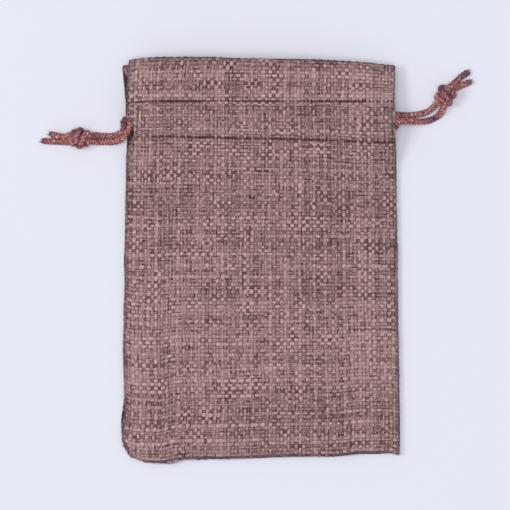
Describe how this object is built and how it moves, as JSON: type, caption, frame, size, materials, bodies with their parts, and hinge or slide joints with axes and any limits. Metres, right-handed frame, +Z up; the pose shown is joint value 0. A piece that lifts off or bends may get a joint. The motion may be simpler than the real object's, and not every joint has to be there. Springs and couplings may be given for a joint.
{
  "type": "burlap drawstring sack",
  "caption": "Small burlap-look drawstring sack lying empty on its back: sewn front and back panels, a hemmed cord channel below the mouth, and knotted drawcords that close it",
  "frame": {"origin": "on the surface the sack lies on, under the middle of its cloth", "axes": "+Y towards the mouth, +X to the right seen from above, +Z up"},
  "size_m": [0.151, 0.1423, 0.0136],
  "materials": {
    "burlap_cloth": "coarse plain weave of uneven mauve-brown yarns, dry and matt",
    "twisted_cord": "soft twisted cord, reddish brown, matt with a slight fuzz"
  },
  "bodies": {
    "root": {"front_panel": "burlap_cloth", "back_panel": "burlap_cloth", "drawcord_left": "twisted_cord", "drawcord_right": "twisted_cord"}
  },
  "joints": []
}
